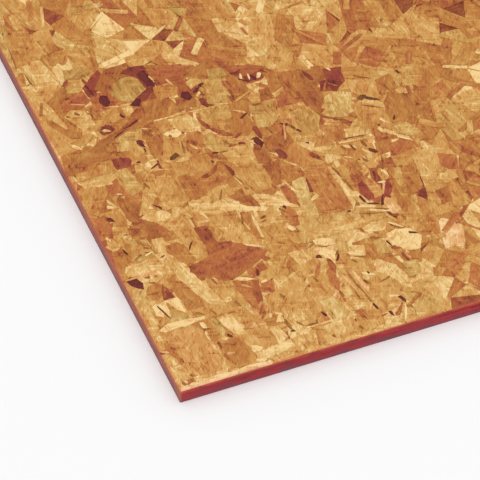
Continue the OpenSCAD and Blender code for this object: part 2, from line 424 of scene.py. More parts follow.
# Slivers listed one by one over them: tone, the two ends, and the width.
SLIVERS = """
cream 8,4 15,3 3
cream 36,3 49,2 4
cream 55,7 62,5 3
amber 7,45 11,23 2
russet 8,38 11,34 2
cream 5,28 6,22 2.5
cream 3,20 9,20 3
rosy 0,37 6,34 2
russet 11,22 11,27 2.5
umber 13,74 18,59 1.3
cream 34,50 36,44 4
cream 34,42 34,33 2
umbertan 33,43.5 39,43 1.6
cream 41,32 45,31 2.5
umber 46,34 49,31 2.4
russet 38.5,31 38.5,24 2
russet 38.5,20 39.5,13 2
rosy 40,19 45,18 2.5
cream 56,17 63,15 6
cream 54,61 60,62 5
umbertan 34,59 39,55 2.2
umbertan 44,58 46,52 1.6
umbertan 61,59 63,53 2.6
umbertan 70,34 78,34 1.2
rosy 66,50 71,41 3
rosy 62,35 74,34 2.4
straw 70,70 76,66 2
cream 69,76 80,72 3.6
umber 83,73 85,79 2.2
cream 82,67 87,68 2.2
russet 82,64 88,57 3
umbertan 90,54 92,50 2
straw 90,60 108,68 2.2
straw 91,68 94,58 2
straw 105,56.5 110,54 2
umbertan 115.5,60 117,54 1.8
russet 72,42 77,50 2
umbertan 72,38 76,44 2
cream 77,37 79,41 2.2
straw 80,41 86,37 2
umbertan 85,33 86.5,21 2
umber 84.5,22 88,21.5 2.2
umbertan 91,28 95,23 1.8
umbertan 95,23 104,21.5 1.8
umbertan 102,20 105,26 1.6
umber 109,30 111.5,25.5 2
cream 90,20.5 116,20.5 1.4
straw 112,20 130,19 1.6
amber 101,18 98,4 1.4
amber 92,18 91,6 1.4
umbertan 109,9 110,5.5 2
umbertan 127,10 129,6.5 2
russet 132,21 134,14 3
umbertan 127,43 128,36 1.7
umbertan 137,58 139,44 1.6
umbertan 139,44 141.5,34 1.8
umbertan 141,36 142.5,26 2
umbertan 136,38 137,30 1.2
rosy 141,56 145,34 3
rosy 134,54 138,36 2
umber 143,24 144.5,18 2
umber 150.5,14.5 151.5,9 2.2
umbertan 144,12 149,13 1.6
russet 153.5,9 162,18 2.6
umber 161,24 163.5,17 2.8
umbertan 164,15 166,10.5 1.6
cream 157,2.5 162,15 1.6
straw 152,2 157,9 1.6
cream 155,26 162,24 1.8
umbertan 154,39 162,41.5 1.8
umbertan 145,45 147,40 2
cream 146,51 154,46 2.4
umber 149.5,51 150.5,48.5 1.5
rosy 152,53 160,51 2
cream 144,70 153,66 2.6
cream 147,74 149,78 2.6
umbertan 144,64 147,60 1.8
umbertan 147,66 154,62 1.6
umber 171,71 173,64 1.2
russet 172,64 178,61 2.6
russet 177,58 178,49 3
rosy 178,58 180,51 1.4
umber 187,72 193,69 2
umber 124,75 127.5,73 2.8
umbertan 128,82 134,80 1.5
umbertan 137,71 140,76 1.8
umber 135,66 139,72 1.4
rosyamber 118,58 124,70 3
rosy 122,50 126,40 2.4
umbertan 14,99 18,98 2.2
umbertan 15,94 20,92 1.8
russet 11,84 18,84 2
russet 20,77 23,90 2.6
umbertan 22,119 27,117 1.8
umbertan 23,123 27,121 1.5
umbertan 14,115 20,118 1.6
cream 22,116 28,118 1.6
umbertan 30,111 34,112 1.6
rosy 34,112 36,104 2
umberolive 10,127 12,121 1.8
rosyamber 5,124 10,126 3
cream 4,140 6,135 2.2
cream 14,134 17,139 3
umbertan 15,138 18,137 1.6
rosy 1,133 4,128 2.6
straw 4,106 9,112 3
umber 50,110 54,116 1.3
umbertan 54,84 56,76 1.8
umbertan 43,92 48,95 1.4
russet 20,136 28,139 3
straw 60,136 60,127 1.8
rosy 63,130 72,129 2
cream 68,138 72,131 1.8
straw 90,126 93,112 1.4
umbertan 90.5,118 93,128 1.4
straw 98.5,124 98.5,101 2
cream 84,102 97,94 2
umbertan 102.5,118 107,119.5 2.2
umbertan 102,115 106,116 1.4
straw 98,119 101,112 2
umber 120.5,123.5 121.5,119.5 2
umbertan 117,122 121,116 1.5
cream 116,106 120,101 3.6
rosy 114,104 118,108 2.4
cream 121,136 124,131 3
cream 131,135 133,132 2
cream 139,120 145,124 2.6
maroon 143.5,140 142,126 2.4
umbertan 162.5,142 165,130 1.7
umbertan 165,130 168,118 2
cream 162,116 169,113 3
umber 157,103.5 159.5,102.5 2
umbermaroon 169.5,113 171,105 2
umbermaroon 171,105 180,101.5 1.5
umbermaroon 180,99.5 184,108 1.8
maroon 184,107 187,119 1.5
maroon 184,121 186,129.5 1.5
rosy 184,108 190,120 1.4
rosy 181,106 183,118 1.2
cream 163,105 176,100.5 2
umbertan 162,99 178,93.5 1.2
cream 170,99.5 184,92.5 2
umbertan 174,99 184,95 1.2
rosy 160,101 170,96.5 1.4
russet 181,90 188,88 2.2
russet 188,88 190,83 2.2
cream 178,85 186,77 1.6
umber 178,83 180,81 1.4
umbertan 180,80 186,76 1.6
umbertan 162,77 169,74 2.4
umbertan 166,81 169,78 2
cream 184,119 190,118 1.6
amber 194,90 195,128 1.6
umbertan 192,128 196,140 1.5
umber 190,148 195,143 3
umbertan 183,142 186,138 2
cream 173,148 178,144 2
cream 176,156 184,152 2.4
umbertan 174,157 176,153 2
umbertan 180,157 182,150 2
umbertan 188,157 190,150 2.4
umbertan 171,150 175,148 1.4
rosy 171,147 176,141 2
cream 186,150 190,144 2.4
cream 174,160 194,157.5 1.8
umbertan 178,162 194,160 1.3
rosy 192,152 198,158 3
russet 153.5,159 158,151 3.6
umber 154,168 156.5,167.5 1.8
cream 203,163 205,157 3
cream 205,160 212,152.5 3.4
cream 212,152.5 220,144.5 3
rosy 207,170 211,164 2
umber 215,165 217,169.5 1.6
umber 203,165.5 205,164.5 1.8
umberolive 200,190 206,192.5 4
umberolive 204,191 213,184.5 2.6
umbertan 200,185 212,178 1.2
umber 232,205 234,201 2
straw 233,196 238,192 2
umbertan 238,189 240,185 2
umbertan 220,196 222,190 2
russet 172,186 183,178.5 2
russet 183,178.5 188,172 3.6
rosy 173,180.5 181,176.5 1.8
maroon 143,179 147,187 2.6
umber 144,190 150,186.5 1.8
umbertan 149,188 153,181 2
umber 153,181 156,178 2.2
rosy 143,175 148,190 1.4
umbertan 135,190 138,184 2
straw 135,159 143,150.5 1.4
straw 143,150.5 145,143 1.2
umbertan 84,142 89,151 1.2
umbertan 101,158 103.5,150 1.3
cream 100,158 102.5,150 1.2
cream 90,139 95,136 3
umbertan 103,147 105,144.5 2
umber 42,156.5 47,149.5 1.8
cream 39,154 42,152 2.6
straw 44,165 48,160 2
russet 9,157 12,153 3
umbermaroon 11,155 14,150 3.2
russet 5,166 7,169 2
russet 24,169 26,164 3
rosy 24,172 29,170 2
straw 16,170 21,160 2
cream 14,164 20,161 2.6
umber 52,184 59,187 1.3
rosy 52,177.5 63,173 1.2
umbertan 44,174 46,168 1.8
umber 45.5,193 49,192.5 1.8
umberolive 67,187 74,190 3.8
straw 63,189 68,184 2.6
straw 70,184 80,184 3
umbertan 78,188 80,200 1.6
umber 92,177 92.5,174.5 1.6
umber 95,182.5 99,181 2
umbertan 99,181 106,180 1.3
umbertan 96,180 98,175 2.6
maroon 80.5,165 88,166 3.2
russet 86,165 95,172.5 3.4
russet 94,173 100,171 3
maroon 98.5,171 101,159.5 3
cream 84,195 87,189 1.8
russet 86,198 88,192 2.6
umbertan 74,207 76,205 2.4
russet 96,215 101,203 3.4
russet 101,203 107,196 3.6
russet 107,196 113,191.5 3.4
rosy 99,199 112,186 2
umbertan 105,190 109,184 1.6
umber 123,203 128.5,206.5 2
cream 121,212 128,207 2
maroon 128,194 130,182 3.4
umber 122.5,184 127.5,183.5 2.4
umber 126.5,185 125.5,177 2.6
russet 122,178 126.5,173 4
rosy 119,186 124,179 1.6
maroon 113.5,184.5 118,182 2.4
rosy 112,188 118,186 2
redrust 113,189 119,192 2.4
umbertan 67,166 67,160 2
umber 52.5,209 57,208 3.6
umbermaroon 54,208 56.5,203 3.2
umber 55.5,203 55,198.5 1.4
rosy 57,206 58,200 1.8
umber 40,218 50,222 1.4
umber 50,222.5 61,227 1.6
umber 39.5,268 41.5,257 2.2
russet 26,271 31,276 3
cream 12,222 18,216 3
umbertan 33,229 38,223.5 1.6
maroon 39,231 42,225 2.2
pink 36,227 41,224 2
cream 29,228 31,222 2
umber 51.5,236 53,231.5 2.2
russet 58,231 66,236 3.4
rosy 45,245 59,240.5 2
umbertan 24,248 27,244.5 2.2
umbertan 18,247 21,245 1.6
umbertan 33,238 36,248 2
rosy 24,256 34,251.5 1.4
umber 23,261 26,261 1.4
umbertan 60,216 64,210 3
rosy 60,219 66,216 2
rosy 81,260 83,253 1.3
rosy 90.5,253 93,245 1.8
umber 96,235 99,232 2
umber 103,235 108,239.5 2.6
umber 107,240 112,241 1.8
cream 103.5,231 107,235 2.4
umbertan 107,222 112,220 2
cream 69,222 94,221 1.4
straw 94,221 120,218 1.3
rosyamber 124,238 126,228 3
umbertan 122,226 124,218 2
pink 135.5,234 137.5,240 2
maroon 133,240 139,243 3
umber 134,236 140,231 1.4
pink 141,232 141.5,238 1.2
umbermaroon 142,236 145,231 2.4
pink 146,231.5 149.5,236 3
umber 150,238 154,234 1.4
rosyamber 143,228 150,222 3
umbertan 145,218 149,213 1.8
umbertan 130,219 134,216 1.8
umbertan 134,211 141,210.5 1.8
maroon 176,227 179,217 2.8
rosyamber 182,205 186,212 1.2
cream 191,223.5 193,220 1.6
rosyamber 186,212 192,206 1.3
umbertan 160,214 162,207 1.6
rosy 202,212 216,205 1.4
umbertan 204,211 216,203 1.2
"""


def turned(points, turn, middle=(0.0, 0.0)):
    """Points turned about the origin, then moved to middle."""
    c, s = math.cos(turn), math.sin(turn)
    return np.asarray(points) @ np.array(((c, s), (-s, c))) + middle


def strand(outline, turn, tone, seed, depth, tip):
    """One strand from its outline, which runs anticlockwise."""
    outline = np.asarray(outline)
    low, high, middle = outline.min(0), outline.max(0), outline.mean(0)
    return Strand(outline, low, high, middle, turn, tone, seed, depth, tip)


def strewn_outline(rng, length, width):
    """A strand along X: split sides that wander a little, and torn ends."""
    half, side = length / 2, width / 2
    slim = width < SLIM_WIDTH
    tear = min(0.05 * length, LONGEST_TEAR)
    wander = 0.04 * width
    lower, upper = [], []
    for x in (-1, 1) if slim else (-1, 0.1, 1):
        pinch = rng.uniform(0.72, 1.0) if abs(x) == 1 else 1.0
        lower.append((x * (half - tear), -side * pinch + rng.uniform(-wander, wander)))
        upper.append((-x * (half - tear), side * pinch + rng.uniform(-wander, wander)))
    right, left = [], []
    for ends, way in ((right, 1), (left, -1)):
        slant = rng.uniform(-0.5, 0.5) * width
        for y in (0.0,) if slim else (-0.5, 0.0, 0.5):
            x = half + slant * y + rng.uniform(-1, 1) * tear
            ends.append((way * x, way * y * side * 1.5))
    return lower + right + upper + left


def frayed(rng, corners, fray):
    """Corners with extra points along the sides, each moved a little, anticlockwise."""
    out = []
    for (ax, ay), (bx, by) in zip(corners, corners[1:] + corners[:1]):
        count = max(1, round(math.hypot(bx - ax, by - ay) / FLAKE_STEP))
        for i in range(count):
            t = i / count
            x = ax + (bx - ax) * t + rng.uniform(-fray, fray)
            y = ay + (by - ay) * t + rng.uniform(-fray, fray)
            out.append((x, y))
    area = sum(ax * by - bx * ay for (ax, ay), (bx, by) in zip(out, out[1:] + out[:1]))
    return out if area > 0 else out[::-1]


def strewn_strands(rng, layers):
    """The strands of one whole face, deepest first."""
    names, shares = list(TONE_SHARES), list(TONE_SHARES.values())
    strands = []
    for layer in layers:
        rows = math.ceil(2 * HALF_LENGTH / layer.along) + 2
        columns = math.ceil(2 * HALF_WIDTH / layer.across) + 2
        made = []
        for row in range(rows):
            for column in range(columns):
                x = -HALF_WIDTH + (column - 1 + rng.random()) * layer.across
                y = -HALF_LENGTH + (row - 1 + rng.random()) * layer.along
                turn = rng.gauss(MAIN_TURN, TURN_SPREAD)
                length, width = rng.uniform(*layer.length), rng.uniform(*layer.width)
                outline = turned(strewn_outline(rng, length, width), turn, (x, y))
                tone, olive = TONES[rng.choices(names, shares)[0]]
                tone = min(max(tone + rng.uniform(-TONE_SPREAD, TONE_SPREAD), 0), 1)
                tip = [rng.uniform(-END_SLOPE, END_SLOPE) / length for _ in range(2)]
                depth = rng.uniform(*layer.depth)
                made.append(strand(outline, turn, (tone, olive), rng.random(), depth, tip))
        rng.shuffle(made)
        strands += made
    return strands


def sliver_corners(rng, start, end, width):
    """The outline of a splinter between two points: pointed at one end, broken off at the other."""
    if rng.random() < 0.5:
        start, end = end, start
    (ax, ay), (bx, by) = start, end
    length = math.hypot(bx - ax, by - ay)
    nx, ny = (ay - by) / length * width / 2, (bx - ax) / length * width / 2
    tip, break_off = rng.uniform(-0.5, 0.5), rng.uniform(-0.6, 0.6)
    spots = (
        (-0.04, tip),
        (rng.uniform(0.25, 0.5), -rng.uniform(0.75, 1.05)),
        (rng.uniform(0.82, 0.98), -rng.uniform(0.8, 1.15)),
        (rng.uniform(0.98, 1.08), break_off),
        (rng.uniform(0.78, 0.96), rng.uniform(0.8, 1.15)),
        (rng.uniform(0.15, 0.45), rng.uniform(0.65, 1.0)),
    )
    return [(ax + (bx - ax) * t + nx * out, ay + (by - ay) * t + ny * out) for t, out in spots]


def hand_laid_strands(rng):
    """The listed strands, in the sheet's own millimetres."""

    def read(words):
        return [tuple(float(v) for v in word.split(",")) for word in words]

    laid = []
    for line in FLAKES.strip().splitlines():
        tone, turn, *words = line.split()
        laid.append((tone, math.radians(float(turn)), read(words), FLAKE_FRAY))
    for line in SLIVERS.strip().splitlines():
        tone, *words, width = line.split()
        start, end = read(words)
        turn = math.atan2(end[1] - start[1], end[0] - start[0])
        laid.append((tone, turn, sliver_corners(rng, start, end, float(width)), SLIVER_FRAY))
    made = []
    first_depth, last_depth = HAND_DEPTHS
    for i, (tone, turn, corners, fray) in enumerate(laid):
        place, hue = TONES[tone]
        # painted shade: the farther a listed strand lies from the edge, the darker its tone
        place *= 1 - PAINTED_FALLOFF_SHADE * min(y for _, y in corners)
        corners = tuple((x - HALF_WIDTH, y - HALF_LENGTH) for x, y in corners)
        outline = frayed(rng, corners, fray)
        depth = first_depth + (last_depth - first_depth) * i / len(laid)
        if tone.startswith("umber"):
            depth += HOLE_DEPTH
        made.append(strand(outline, turn, (place, hue), rng.random(), depth, (0, 0)))
    return made


# --- Mosaic ---------------------------------------------------------------------------------------
Mosaic = namedtuple("Mosaic", "places depths owners triangles triangle_owners walls borders")


def paired_edges(triangles):
    """Edges with a triangle on both sides, as start, end, left triangle and right triangle,
    then the edges with a triangle on one side only, as start, end and that triangle."""
    edges = np.concatenate([triangles[:, (0, 1)], triangles[:, (1, 2)], triangles[:, (2, 0)]])
    owner = np.tile(np.arange(len(triangles)), 3)
    low, high = edges.min(1), edges.max(1)
    order = np.lexsort((high, low))
    same = (low[order][1:] == low[order][:-1]) & (high[order][1:] == high[order][:-1])
    first, second = order[:-1][same], order[1:][same]
    paired = np.column_stack([edges[first], owner[first], owner[second]])
    alone = np.ones(len(edges), bool)
    alone[first] = alone[second] = False
    return paired, np.column_stack([edges[alone], owner[alone]])


def straightened(places, edges):
    """The edges without the points that lie on a straight run between two neighbours."""
    near = defaultdict(list)
    for a, b in edges:
        near[a].append(b)
        near[b].append(a)
    for p in list(near):
        if len(near[p]) != 2:
            continue
        a, b = near[p]
        ax, ay = places[a]
        bx, by = places[b]
        px, py = places[p]
        off = abs((bx - ax) * (py - ay) - (by - ay) * (px - ax))
        if b in near[a] or off > STRAIGHT * math.hypot(bx - ax, by - ay):
            continue
        near[a][near[a].index(p)] = b
        near[b][near[b].index(p)] = a
        del near[p]
    return [(a, b) for a in near for b in near[a] if a < b]


def inside(points, outline):
    """Which points lie inside an outline."""
    x, y = points[:, :1], points[:, 1:]
    ax, ay = outline.T
    bx, by = np.roll(outline, -1, 0).T
    rise = np.where(by == ay, 1e-12, by - ay)
    crossed = ((ay > y) != (by > y)) & (x < ax + (bx - ax) * (y - ay) / rise)
    return crossed.sum(1) % 2 == 1


def topmost(points, strands):
    """The number of the topmost strand over each point, counting from 1, or 0 where there is none."""
    top = np.zeros(len(points), int)
    for i, s in enumerate(strands, 1):
        near = np.flatnonzero((points > s.low).all(1) & (points < s.high).all(1))
        top[near[inside(points[near], s.outline)]] = i
    return top


def split_by_strands(box, strands):
    """Points and triangles of a rectangle, cut along every rim of a strand that shows."""
    x0, y0, x1, y1 = box
    points = [Vector(p) for p in ((x0, y0), (x1, y0), (x1, y1), (x0, y1))]
    outlines = [[0, 1, 2, 3]]
    for s in strands:
        outlines.append(list(range(len(points), len(points) + len(s.outline))))
        points += [Vector(p) for p in s.outline]
    found, _, triangles, _, _, over = delaunay_2d_cdt(points, [], outlines, 0, SAME_CORNER, True)
    within = [i for i, ids in enumerate(over) if 0 in ids]
    places = np.array([v[:] for v in found])
    triangles = np.array(triangles)[within]
    top = np.array([max(over[i]) for i in within])
    for axis, limits in ((0, (x0, x1)), (1, (y0, y1))):
        for limit in limits:
            places[np.abs(places[:, axis] - limit) < SNAP, axis] = limit
    paired, alone = paired_edges(triangles)
    rims = paired[top[paired[:, 2]] != top[paired[:, 3]], :2]
    edges = straightened(places.tolist(), np.concatenate([rims, alone[:, :2]]).tolist())
    used = sorted({p for edge in edges for p in edge})
    number = {p: i for i, p in enumerate(used)}
    edges = [(number[a], number[b]) for a, b in edges]
    points = [Vector(p) for p in places[used]]
    found, _, triangles, *_ = delaunay_2d_cdt(points, edges, [], 0, SAME_RIM_POINT, True)
    return np.array([v[:] for v in found]), np.array(triangles)


def mosaic(box, strands, sealed):
    """One face of a block, and the strands that reach it: every strand's visible pieces at its own
    depth, the walls between them and the border points of each side. sealed names the sides of the
    box that are sawn edges of the sheet."""
    x0, y0, x1, y1 = box
    reach = [s for s in strands if (s.low < (x1, y1)).all() and (s.high > (x0, y0)).all()]
    flat, triangles = split_by_strands(box, reach)
    top = topmost(flat[triangles].mean(1), reach)
    keys = np.column_stack([triangles.ravel(), np.repeat(top, 3)])
    keys, number = np.unique(keys, axis=0, return_inverse=True)
    number = number.reshape(-1, 3)
    places, owners = flat[keys[:, 0]], keys[:, 1]
    tables = [(MAT_DEPTH, 0.0, 0.0, 0.0, 0.0)]
    tables += [(s.depth, *s.tip, *s.middle) for s in reach]
    depth, tip_x, tip_y, mid_x, mid_y = np.array(tables)[owners].T
    depth = depth + tip_x * (places[:, 0] - mid_x) + tip_y * (places[:, 1] - mid_y)
    depth = np.maximum(depth, 0)
    lines = {"south": (1, y0), "east": (0, x1), "north": (1, y1), "west": (0, x0)}
    for side in sealed:
        axis, at = lines[side]
        on_side = np.abs(places[:, axis] - at) < SNAP
        depth[on_side] = np.minimum(depth[on_side], BORDER_DEPTH)

    stacks = defaultdict(list)
    for i, (point, _) in enumerate(keys.tolist()):
        stacks[point].append((depth[i], i))

    def between(point, start, end):
        """Other strands' points on the upright line from start to end, in order."""
        low, high = sorted((depth[start], depth[end]))
        found = [x for x in stacks[point] if low < x[0] < high and x[1] not in (start, end)]
        found.sort(reverse=bool(depth[start] > depth[end]))
        return [i for _, i in found]

    walls = []
    paired, alone = paired_edges(triangles)
    corner = {}
    for (a, b, c), ids in zip(triangles.tolist(), number.tolist()):
        corner[(a, b)] = ids[0], ids[1]
        corner[(b, c)] = ids[1], ids[2]
        corner[(c, a)] = ids[2], ids[0]
    for a, b, left, right in paired.tolist():
        if top[left] == top[right]:
            continue
        a1, b1 = corner[(a, b)]
        b2, a2 = corner[(b, a)]
        wall = [a1, *between(a, a1, a2), a2, b2, *between(b, b2, b1), b1]
        owner = left if depth[a1] + depth[b1] < depth[a2] + depth[b2] else right
        walls.append((wall, top[owner]))

    borders = {}
    for side, (axis, at) in lines.items():
        on_side = (np.abs(flat[alone[:, :2]][:, :, axis] - at) < SNAP).all(1)
        found = alone[on_side, :2].tolist()
        other, way = 1 - axis, 1 if side in ("south", "east") else -1
        found.sort(key=lambda e: way * (flat[e[0]][other] + flat[e[1]][other]))
        line = []
        for a, b in found:
            first, last = corner[(a, b)]
            if line and line[-1] != first:
                line += between(a, line[-1], first)
            if not line or line[-1] != first:
                line.append(first)
            line.append(last)
        borders[side] = line
    for side, line in borders.items():
        start = borders[SIDES[(SIDES.index(side) + 1) % 4]][0]
        if line[-1] != start:
            line += between(keys[line[-1], 0], line[-1], start) + [start]
    return Mosaic(places, depth, owners, number, top, walls, borders), reach


# --- Blocks ---------------------------------------------------------------------------------------
SIDES = ("south", "east", "north", "west")  # anticlockwise from above
FACE_SLOT, SEALED_SLOT, CORE_SLOT = range(3)
TOP_MAP = (0.002, 0.002, 0.478, 0.998)  # where each surface lies on a block's bake map
UNDER_MAP = (0.484, 0.002, 0.960, 0.998)
EDGE_MAP = (0.968, 0.002, 0.998, 0.998)
CUT_MAP = (0.964, 0.5)
ARRIS_SHARE = 0.12  # how much of the edge's map each worn arris takes
PLAIN_LOOK = (0.5, 0.0, 0.0)
NO_STRAND = ((0.15, 0.0), 0.5, 0.0, 0.0, 1.0, 0.0)  # the look of the board where no strand covers it
SEED_STEP = 40  # sets the strands' grain patterns apart
# The longest run of sawn edge that a block has: one side across and one along.
EDGE_RUN = 2 * (HALF_WIDTH / BLOCKS_ACROSS + HALF_LENGTH / BLOCKS_ALONG)


class Shell:
    """The points and faces of one block as they are gathered."""

    def __init__(self):
        self.points, self.faces, self.slots = [], [], []
        self.maps, self.strands, self.grains = [], [], []
        self.count = 0

    def add_points(self, points):
        """Adds points and returns their numbers."""
        points = np.asarray(points, float).reshape(-1, 3)
        self.points.append(points)
        start, self.count = self.count, self.count + len(points)
        return np.arange(start, self.count)

    def add_face(self, corners, slot, places, look=PLAIN_LOOK, grain=None):
        """One face, its bake-map places, and the look and grain places of the strand that it shows.
        A look is tone, hue, and 1 on a wall between strands."""
        self.faces.append(corners)
        self.slots.append(slot)
        self.maps += places
        self.strands.append(look)
        self.grains += grain if grain is not None else [(0.0, 0.0, 0.0)] * len(corners)


def add_mosaic(shell, box, strands, sealed, under):
    """Adds one face of a block to its shell and returns the numbers of its border points."""
    found, reach = mosaic(box, strands, sealed)
    heights = found.depths if under else THICKNESS - found.depths
    start = shell.add_points(np.column_stack([found.places, heights]))[0]
    x0, y0, x1, y1 = box
    u0, v0, u1, v1 = UNDER_MAP if under else TOP_MAP
    spread = (found.places - (x0, y0)) / (x1 - x0, y1 - y0)
    spread = ((u0, v0) + spread * (u1 - u0, v1 - v0)).tolist()
    places = found.places.tolist()
    looks = [NO_STRAND]
    for s in reach:
        looks.append((s.tone, s.seed, *s.middle, math.cos(s.turn), math.sin(s.turn)))

    def add(corners, owner, wall):
        (tone, olive), seed, mx, my, c, s = looks[owner]
        if under:
            corners = corners[::-1]
        grain = []
        for i in corners:
            x, y = places[i][0] - mx, places[i][1] - my
            grain.append((x * c + y * s, y * c - x * s, SEED_STEP * seed))
        numbers, maps = [start + i for i in corners], [spread[i] for i in corners]
        shell.add_face(numbers, FACE_SLOT, maps, (tone, olive, wall), grain)

    for corners, owner in zip(found.triangles.tolist(), found.triangle_owners.tolist()):
        add(corners, owner, 0.0)
    for corners, owner in found.walls:
        add(corners, owner, 1.0)
    return {side: [start + i for i in line] for side, line in found.borders.items()}


def sawn_relief(x, y, row):
    """How far a point of the sawn edge lies inside the sheet's side: strand ends stand proud of the
    glue lines between them, and here and there a gap between two strands stays open."""
    along = x + y
    glue_line = row % 2 == 1
    depth = EDGE_INSET + EDGE_WANDER * noise.noise(Vector((along / 9, row * 3.7, 1.0)))
    if glue_line:
        depth += GLUE_INSET
        gap = noise.noise(Vector((along / 16, row * 5.3, 7.0)))
        depth += GAP_DEPTH * min(max((gap - 0.38) / 0.1, 0), 1)
    return depth


def edge_column(x, y, out_x, out_y, relief):
    """The points of one upright column of a sawn edge, from the top down."""
    top, bottom = THICKNESS - ARRIS_DROP, ARRIS_DROP
    column = []
    for row in range(EDGE_ROWS + 1):
        share = row / EDGE_ROWS
        z = top + (bottom - top) * share
        free = min(share, 1 - share) * 4
        if relief and free > 0:
            wave = noise.noise(Vector(((x + y) / 45, row * 0.35, 3.0)))
            z += LAYER_WAVE * min(free, 1) * wave
        depth = sawn_relief(x, y, row) * min(free, 1) if relief else 0
        column.append((x - out_x * depth, y - out_y * depth, z))
    return column


def edge_path(box, run):
    """Places along the sawn sides of a block: x, y, outward direction, distance and relief."""
    x0, y0, x1, y1 = box
    ends = {
        "south": ((x0, y0), (x1, y0), (0, -1)),
        "east": ((x1, y0), (x1, y1), (1, 0)),
        "north": ((x1, y1), (x0, y1), (0, 1)),
        "west": ((x0, y1), (x0, y0), (-1, 0)),
    }
    path, base = [], 0.0
    for i, side in enumerate(run):
        (ax, ay), (bx, by), out = ends[side]
        length = math.hypot(bx - ax, by - ay)
        start = CORNER_CUT if i > 0 else 0.0
        stop = length - CORNER_CUT if i < len(run) - 1 else length
        count = round((stop - start) / EDGE_COLUMN)
        for k in range(count + 1):
            at = start + (stop - start) * k / count
            x, y = ax + (bx - ax) * at / length, ay + (by - ay) * at / length
            at_cut = (i > 0 and k == 0) or (i < len(run) - 1 and k == count)
            path.append((x, y, *out, base + at, not at_cut))
        base += length
    return path


def add_edge(shell, box, run, faces, inset_box):
    """Adds the sawn sides named in run, which follow each other anticlockwise, and the worn arrises
    that join them to the borders of the top and the under face. Returns the first and last column,
    from the top down."""
    path = edge_path(box, run)
    columns = [shell.add_points(edge_column(*p[:4], p[5])).tolist() for p in path]
    u0, v0, u1, v1 = EDGE_MAP

    def place(at, down):
        return (u0 + (u1 - u0) * down, v0 + (v1 - v0) * at / EDGE_RUN)

    def down_at(row):
        return ARRIS_SHARE + (1 - 2 * ARRIS_SHARE) * row / EDGE_ROWS

    for i in range(len(path) - 1):
        a, b = path[i][4], path[i + 1][4]
        here, after = columns[i], columns[i + 1]
        for row in range(EDGE_ROWS):
            d0, d1 = down_at(row), down_at(row + 1)
            corners = [here[row], here[row + 1], after[row + 1], after[row]]
            maps = [place(a, d0), place(a, d1), place(b, d1), place(b, d0)]
            shell.add_face(corners, SEALED_SLOT, maps)

    ix0, iy0, ix1, iy1 = inset_box
    starts = {"south": (ix0, iy0), "east": (ix1, iy0), "north": (ix1, iy1), "west": (ix0, iy1)}
    points = np.concatenate(shell.points)
    for faces_line, row, upper in ((faces[0], 0, True), (faces[1], EDGE_ROWS, False)):
        line, base = [], 0.0
        for side in run:
            sx, sy = starts[side]
            length = abs((ix1 - ix0) if side in ("south", "north") else (iy1 - iy0))
            for number in faces_line[side]:
                x, y = points[number][:2]
                at = base + abs(x - sx) + abs(y - sy)
                if not line or line[-1][1] != number:
                    line.append((at, number))
            base += length
        edge = [(p[4], c[row]) for p, c in zip(path, columns)]
        zip_lines(shell, line if upper else edge, edge if upper else line, place, upper)
    return columns[0], columns[-1]


def zip_lines(shell, upper, lower, place, at_top):
    """Fills between two lines of points that run the same way with triangles."""
    downs = (0.0, ARRIS_SHARE) if at_top else (1 - ARRIS_SHARE, 1.0)
    i = j = 0
    while i < len(upper) - 1 or j < len(lower) - 1:
        step_upper = j == len(lower) - 1
        if not step_upper and i < len(upper) - 1:
            step_upper = upper[i + 1][0] <= lower[j + 1][0]
        last = upper[i + 1] if step_upper else lower[j + 1]
        corners = [upper[i][1], lower[j][1], last[1]]
        if len(set(corners)) == 3:
            spots = [
                place(upper[i][0], downs[0]),
                place(lower[j][0], downs[1]),
                place(last[0], downs[0] if step_upper else downs[1]),
            ]
            shell.add_face(corners, SEALED_SLOT, spots)
        i, j = (i + 1, j) if step_upper else (i, j + 1)


def sealed_runs(sealed):
    """The sawn sides of a block as one anticlockwise run, or none."""
    if not sealed:
        return []
    order = [s for s in SIDES if s in sealed]
    if set(order) == {"south", "west"}:
        order = ["west", "south"]
    return order


def block_piece(name, box, sealed, top_strands, under_strands, materials):
    """One closed block of the sheet as a mesh object."""
    shell = Shell()
    x0, y0, x1, y1 = box
    inset_box = (
        x0 + ARRIS_INSET * ("west" in sealed),
        y0 + ARRIS_INSET * ("south" in sealed),
        x1 - ARRIS_INSET * ("east" in sealed),
        y1 - ARRIS_INSET * ("north" in sealed),
    )
    top = add_mosaic(shell, inset_box, top_strands, sealed, under=False)
    under = add_mosaic(shell, inset_box, under_strands, sealed, under=True)
    run = sealed_runs(sealed)
    first, last = add_edge(shell, box, run, (top, under), inset_box) if run else ([], [])
    for side in SIDES:
        if side in sealed:
            continue
        after = SIDES[(SIDES.index(side) + 1) % 4]
        before = SIDES[SIDES.index(side) - 1]
        loop = list(under[side])
        if run and after == run[0]:
            loop += first[::-1]
        loop += top[side][::-1]
        if run and before == run[-1]:
            loop += last
        shell.add_face(loop, CORE_SLOT, [CUT_MAP] * len(loop))

    mesh = bpy.data.meshes.new(name)
    points = np.concatenate(shell.points) * MM
    mesh.from_pydata(points.tolist(), [], shell.faces)
    looks = (("strand", "FACE", shell.strands), ("grain", "CORNER", shell.grains))
    for attribute, domain, rows in looks:
        layer = mesh.attributes.new(attribute, "FLOAT_VECTOR", domain)
        layer.data.foreach_set("vector", np.array(rows, np.float32).ravel())
    layer = mesh.uv_layers.new(name="OFBake")
    layer.uv.foreach_set("vector", np.array(shell.maps, np.float32).ravel())
    mesh.polygons.foreach_set("material_index", shell.slots)
    for material in materials:
        mesh.materials.append(material)
    piece = bpy.data.objects.new(name, mesh)
    bpy.context.collection.objects.link(piece)
    return piece


